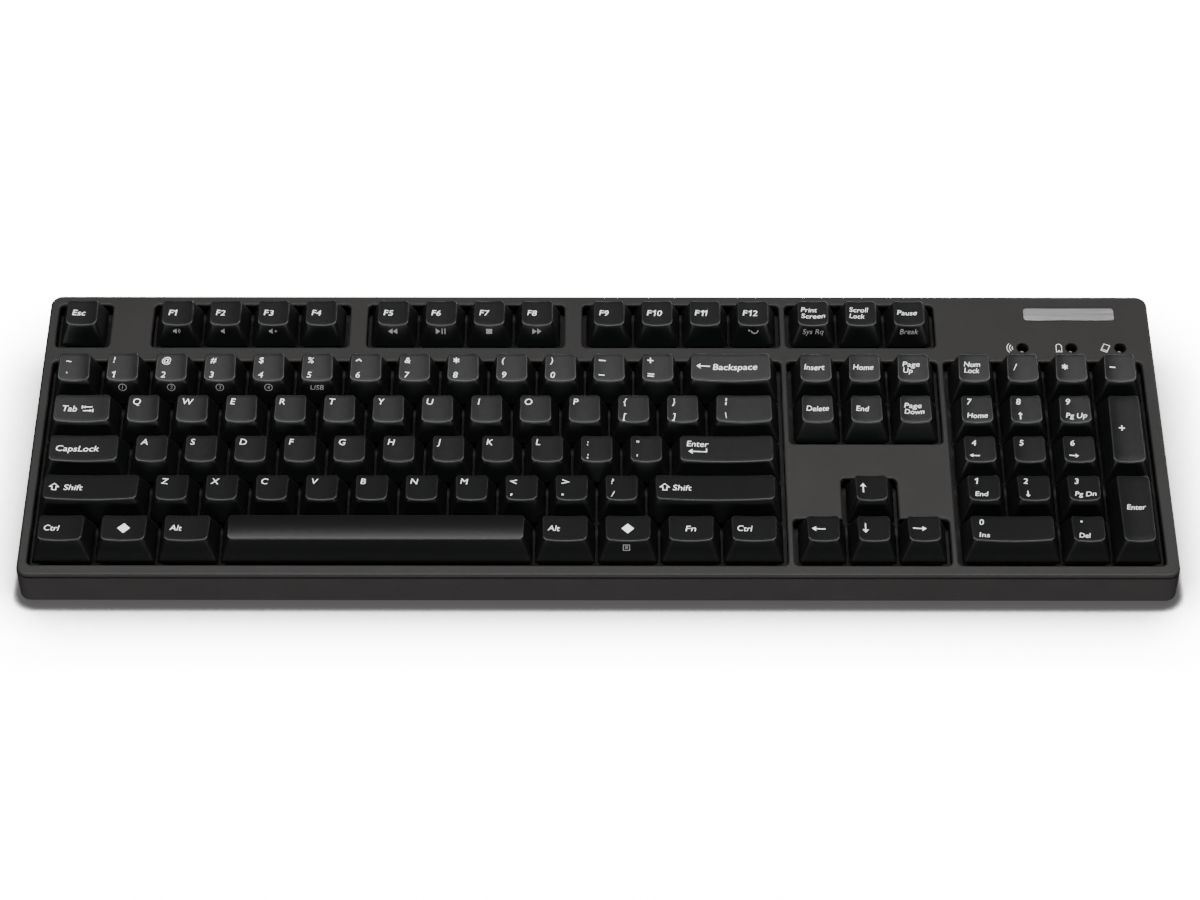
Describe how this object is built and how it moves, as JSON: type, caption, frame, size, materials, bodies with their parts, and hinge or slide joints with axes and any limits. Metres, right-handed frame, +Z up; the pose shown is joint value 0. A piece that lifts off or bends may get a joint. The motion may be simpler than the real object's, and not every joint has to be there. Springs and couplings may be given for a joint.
{
  "type": "mechanical keyboard",
  "caption": "Full-size wireless desktop keyboard with sculpted dark keys on mechanical switches, a two-part case, flip-out rear feet and a battery bay.",
  "frame": {"origin": "on the desk under the middle of the case", "axes": "+X along the long side to the right of someone typing, +Y to the rear, +Z up"},
  "size_m": [0.44, 0.1365, 0.0381],
  "materials": {
    "cover_plastic": "fine matte grain, warm dark grey",
    "shell_plastic": "fine matte grain, near-black grey",
    "key_plastic": "soft satin, near black",
    "plate_steel": "powder-coated dark grey",
    "board_laminate": "green solder mask",
    "component_plastic": "moulded epoxy",
    "switch_plastic": "moulded black",
    "spring_steel": "drawn wire",
    "stabilizer_plastic": "moulded black",
    "wire_steel": "drawn wire",
    "screw_steel": "zinc plated",
    "foot_rubber": "matte",
    "foot_plastic": "fine matte grain",
    "battery_jacket": "plain printed film",
    "contact_steel": "nickel plated",
    "socket_steel": "nickel plated",
    "lens_plastic": "diffusing grey",
    "badge_metal": "brushed",
    "legend_ink": "printed characters, matte near white"
  },
  "bodies": {
    "case": {"badge_plate": "badge_metal", "batteries": "battery_jacket", "battery_contacts": "contact_steel", "board_components": "component_plastic", "bottom_case": "shell_plastic", "case_screws": "screw_steel", "circuit_board": "board_laminate", "indicator_lenses": "lens_plastic", "rubber_feet": "foot_rubber", "stabilizer_housings": "stabilizer_plastic", "stabilizer_wires": "wire_steel", "switch_housings": "switch_plastic", "switch_plate": "plate_steel", "switch_springs": "spring_steel", "top_case": "cover_plastic", "usb_socket": "socket_steel"},
    "key_arrow_down": {"key_arrow_down": "key_plastic"},
    "key_arrow_left": {"key_arrow_left": "key_plastic"},
    "key_arrow_right": {"key_arrow_right": "key_plastic"},
    "key_arrow_up": {"key_arrow_up": "key_plastic"},
    "key_backslash": {"key_backslash": "key_plastic"},
    "key_backspace": {"key_backspace": "key_plastic"},
    "key_caps_lock": {"key_caps_lock": "key_plastic"},
    "key_enter": {"key_enter": "key_plastic"},
    "key_escape": {"key_escape": "key_plastic"},
    "key_fn": {"key_fn": "key_plastic"},
    "key_left_alt": {"key_left_alt": "key_plastic"},
    "key_left_ctrl": {"key_left_ctrl": "key_plastic"},
    "key_left_meta": {"key_left_meta": "key_plastic"},
    "key_left_shift": {"key_left_shift": "key_plastic"},
    "key_numpad_enter": {"key_numpad_enter": "key_plastic"},
    "key_numpad_plus": {"key_numpad_plus": "key_plastic"},
    "key_numpad_zero": {"key_numpad_zero": "key_plastic"},
    "key_right_alt": {"key_right_alt": "key_plastic"},
    "key_right_ctrl": {"key_right_ctrl": "key_plastic"},
    "key_right_meta": {"key_right_meta": "key_plastic"},
    "key_right_shift": {"key_right_shift": "key_plastic"},
    "key_space_bar": {"key_space_bar": "key_plastic"},
    "key_tab": {"key_tab": "key_plastic"},
    "keys_7_to_equals": {"keys_7_to_equals": "key_plastic"},
    "keys_a_to_g": {"keys_a_to_g": "key_plastic"},
    "keys_f1_to_f4": {"keys_f1_to_f4": "key_plastic"},
    "keys_f5_to_f8": {"keys_f5_to_f8": "key_plastic"},
    "keys_f9_to_f12": {"keys_f9_to_f12": "key_plastic"},
    "keys_grave_to_6": {"keys_grave_to_6": "key_plastic"},
    "keys_h_to_quote": {"keys_h_to_quote": "key_plastic"},
    "keys_n_to_slash": {"keys_n_to_slash": "key_plastic"},
    "keys_navigation": {"keys_navigation": "key_plastic"},
    "keys_numpad_1_2_3_dot": {"keys_numpad_1_2_3_dot": "key_plastic"},
    "keys_numpad_4_5_6": {"keys_numpad_4_5_6": "key_plastic"},
    "keys_numpad_7_8_9": {"keys_numpad_7_8_9": "key_plastic"},
    "keys_numpad_top": {"keys_numpad_top": "key_plastic"},
    "keys_print_scroll_pause": {"keys_print_scroll_pause": "key_plastic"},
    "keys_q_to_t": {"keys_q_to_t": "key_plastic"},
    "keys_y_to_bracket": {"keys_y_to_bracket": "key_plastic"},
    "keys_z_to_b": {"keys_z_to_b": "key_plastic"},
    "left_flip_foot": {"left_flip_foot": "foot_plastic"},
    "right_flip_foot": {"right_flip_foot": "foot_plastic"},
    "battery_door": {"battery_door": "shell_plastic"},
    "power_switch_knob": {"power_switch_knob": "foot_plastic"}
  },
  "joints": [
    {"name": "press_arrow_down", "type": "slide", "parent": "case", "child": "key_arrow_down", "axis": [0, 0.1045, -0.9945], "range_m": [0, 0.004], "stiffness_N_per_m": 150, "springref_m": -0.003},
    {"name": "press_arrow_left", "type": "slide", "parent": "case", "child": "key_arrow_left", "axis": [0, 0.1045, -0.9945], "range_m": [0, 0.004], "stiffness_N_per_m": 150, "springref_m": -0.003},
    {"name": "press_arrow_right", "type": "slide", "parent": "case", "child": "key_arrow_right", "axis": [0, 0.1045, -0.9945], "range_m": [0, 0.004], "stiffness_N_per_m": 150, "springref_m": -0.003},
    {"name": "press_arrow_up", "type": "slide", "parent": "case", "child": "key_arrow_up", "axis": [0, 0.1045, -0.9945], "range_m": [0, 0.004], "stiffness_N_per_m": 150, "springref_m": -0.003},
    {"name": "press_backslash", "type": "slide", "parent": "case", "child": "key_backslash", "axis": [0, 0.1045, -0.9945], "range_m": [0, 0.004], "stiffness_N_per_m": 150, "springref_m": -0.003},
    {"name": "press_backspace", "type": "slide", "parent": "case", "child": "key_backspace", "axis": [0, 0.1045, -0.9945], "range_m": [0, 0.004], "stiffness_N_per_m": 150, "springref_m": -0.003},
    {"name": "press_caps_lock", "type": "slide", "parent": "case", "child": "key_caps_lock", "axis": [0, 0.1045, -0.9945], "range_m": [0, 0.004], "stiffness_N_per_m": 150, "springref_m": -0.003},
    {"name": "press_enter", "type": "slide", "parent": "case", "child": "key_enter", "axis": [0, 0.1045, -0.9945], "range_m": [0, 0.004], "stiffness_N_per_m": 150, "springref_m": -0.003},
    {"name": "press_escape", "type": "slide", "parent": "case", "child": "key_escape", "axis": [0, 0.1045, -0.9945], "range_m": [0, 0.004], "stiffness_N_per_m": 150, "springref_m": -0.003},
    {"name": "press_fn", "type": "slide", "parent": "case", "child": "key_fn", "axis": [0, 0.1045, -0.9945], "range_m": [0, 0.004], "stiffness_N_per_m": 150, "springref_m": -0.003},
    {"name": "press_left_alt", "type": "slide", "parent": "case", "child": "key_left_alt", "axis": [0, 0.1045, -0.9945], "range_m": [0, 0.004], "stiffness_N_per_m": 150, "springref_m": -0.003},
    {"name": "press_left_ctrl", "type": "slide", "parent": "case", "child": "key_left_ctrl", "axis": [0, 0.1045, -0.9945], "range_m": [0, 0.004], "stiffness_N_per_m": 150, "springref_m": -0.003},
    {"name": "press_left_meta", "type": "slide", "parent": "case", "child": "key_left_meta", "axis": [0, 0.1045, -0.9945], "range_m": [0, 0.004], "stiffness_N_per_m": 150, "springref_m": -0.003},
    {"name": "press_left_shift", "type": "slide", "parent": "case", "child": "key_left_shift", "axis": [0, 0.1045, -0.9945], "range_m": [0, 0.004], "stiffness_N_per_m": 150, "springref_m": -0.003},
    {"name": "press_numpad_enter", "type": "slide", "parent": "case", "child": "key_numpad_enter", "axis": [0, 0.1045, -0.9945], "range_m": [0, 0.004], "stiffness_N_per_m": 150, "springref_m": -0.003},
    {"name": "press_numpad_plus", "type": "slide", "parent": "case", "child": "key_numpad_plus", "axis": [0, 0.1045, -0.9945], "range_m": [0, 0.004], "stiffness_N_per_m": 150, "springref_m": -0.003},
    {"name": "press_numpad_zero", "type": "slide", "parent": "case", "child": "key_numpad_zero", "axis": [0, 0.1045, -0.9945], "range_m": [0, 0.004], "stiffness_N_per_m": 150, "springref_m": -0.003},
    {"name": "press_right_alt", "type": "slide", "parent": "case", "child": "key_right_alt", "axis": [0, 0.1045, -0.9945], "range_m": [0, 0.004], "stiffness_N_per_m": 150, "springref_m": -0.003},
    {"name": "press_right_ctrl", "type": "slide", "parent": "case", "child": "key_right_ctrl", "axis": [0, 0.1045, -0.9945], "range_m": [0, 0.004], "stiffness_N_per_m": 150, "springref_m": -0.003},
    {"name": "press_right_meta", "type": "slide", "parent": "case", "child": "key_right_meta", "axis": [0, 0.1045, -0.9945], "range_m": [0, 0.004], "stiffness_N_per_m": 150, "springref_m": -0.003},
    {"name": "press_right_shift", "type": "slide", "parent": "case", "child": "key_right_shift", "axis": [0, 0.1045, -0.9945], "range_m": [0, 0.004], "stiffness_N_per_m": 150, "springref_m": -0.003},
    {"name": "press_space_bar", "type": "slide", "parent": "case", "child": "key_space_bar", "axis": [0, 0.1045, -0.9945], "range_m": [0, 0.004], "stiffness_N_per_m": 150, "springref_m": -0.003},
    {"name": "press_tab", "type": "slide", "parent": "case", "child": "key_tab", "axis": [0, 0.1045, -0.9945], "range_m": [0, 0.004], "stiffness_N_per_m": 150, "springref_m": -0.003},
    {"name": "press_7_to_equals", "type": "slide", "parent": "case", "child": "keys_7_to_equals", "axis": [0, 0.1045, -0.9945], "range_m": [0, 0.004], "stiffness_N_per_m": 900, "springref_m": -0.003},
    {"name": "press_a_to_g", "type": "slide", "parent": "case", "child": "keys_a_to_g", "axis": [0, 0.1045, -0.9945], "range_m": [0, 0.004], "stiffness_N_per_m": 750, "springref_m": -0.003},
    {"name": "press_f1_to_f4", "type": "slide", "parent": "case", "child": "keys_f1_to_f4", "axis": [0, 0.1045, -0.9945], "range_m": [0, 0.004], "stiffness_N_per_m": 600, "springref_m": -0.003},
    {"name": "press_f5_to_f8", "type": "slide", "parent": "case", "child": "keys_f5_to_f8", "axis": [0, 0.1045, -0.9945], "range_m": [0, 0.004], "stiffness_N_per_m": 600, "springref_m": -0.003},
    {"name": "press_f9_to_f12", "type": "slide", "parent": "case", "child": "keys_f9_to_f12", "axis": [0, 0.1045, -0.9945], "range_m": [0, 0.004], "stiffness_N_per_m": 600, "springref_m": -0.003},
    {"name": "press_grave_to_6", "type": "slide", "parent": "case", "child": "keys_grave_to_6", "axis": [0, 0.1045, -0.9945], "range_m": [0, 0.004], "stiffness_N_per_m": 1050, "springref_m": -0.003},
    {"name": "press_h_to_quote", "type": "slide", "parent": "case", "child": "keys_h_to_quote", "axis": [0, 0.1045, -0.9945], "range_m": [0, 0.004], "stiffness_N_per_m": 900, "springref_m": -0.003},
    {"name": "press_n_to_slash", "type": "slide", "parent": "case", "child": "keys_n_to_slash", "axis": [0, 0.1045, -0.9945], "range_m": [0, 0.004], "stiffness_N_per_m": 750, "springref_m": -0.003},
    {"name": "press_navigation", "type": "slide", "parent": "case", "child": "keys_navigation", "axis": [0, 0.1045, -0.9945], "range_m": [0, 0.004], "stiffness_N_per_m": 900, "springref_m": -0.003},
    {"name": "press_numpad_1_2_3_dot", "type": "slide", "parent": "case", "child": "keys_numpad_1_2_3_dot", "axis": [0, 0.1045, -0.9945], "range_m": [0, 0.004], "stiffness_N_per_m": 600, "springref_m": -0.003},
    {"name": "press_numpad_4_5_6", "type": "slide", "parent": "case", "child": "keys_numpad_4_5_6", "axis": [0, 0.1045, -0.9945], "range_m": [0, 0.004], "stiffness_N_per_m": 450, "springref_m": -0.003},
    {"name": "press_numpad_7_8_9", "type": "slide", "parent": "case", "child": "keys_numpad_7_8_9", "axis": [0, 0.1045, -0.9945], "range_m": [0, 0.004], "stiffness_N_per_m": 450, "springref_m": -0.003},
    {"name": "press_numpad_top", "type": "slide", "parent": "case", "child": "keys_numpad_top", "axis": [0, 0.1045, -0.9945], "range_m": [0, 0.004], "stiffness_N_per_m": 600, "springref_m": -0.003},
    {"name": "press_print_scroll_pause", "type": "slide", "parent": "case", "child": "keys_print_scroll_pause", "axis": [0, 0.1045, -0.9945], "range_m": [0, 0.004], "stiffness_N_per_m": 450, "springref_m": -0.003},
    {"name": "press_q_to_t", "type": "slide", "parent": "case", "child": "keys_q_to_t", "axis": [0, 0.1045, -0.9945], "range_m": [0, 0.004], "stiffness_N_per_m": 750, "springref_m": -0.003},
    {"name": "press_y_to_bracket", "type": "slide", "parent": "case", "child": "keys_y_to_bracket", "axis": [0, 0.1045, -0.9945], "range_m": [0, 0.004], "stiffness_N_per_m": 1050, "springref_m": -0.003},
    {"name": "press_z_to_b", "type": "slide", "parent": "case", "child": "keys_z_to_b", "axis": [0, 0.1045, -0.9945], "range_m": [0, 0.004], "stiffness_N_per_m": 750, "springref_m": -0.003},
    {"name": "left_foot_unfold", "type": "hinge", "parent": "case", "child": "left_flip_foot", "pos_m": [-0.128, 0.05744, 0.0036], "axis": [1, 0, 0], "range_deg": [0, 95]},
    {"name": "right_foot_unfold", "type": "hinge", "parent": "case", "child": "right_flip_foot", "pos_m": [0.128, 0.05744, 0.0036], "axis": [1, 0, 0], "range_deg": [0, 95]},
    {"name": "battery_door_lift_off", "type": "slide", "parent": "case", "child": "battery_door", "axis": [0, 0, -1], "range_m": [0, 0.02]},
    {"name": "power_switch_slide", "type": "slide", "parent": "case", "child": "power_switch_knob", "axis": [1, 0, 0], "range_m": [0, 0.003]}
  ]
}
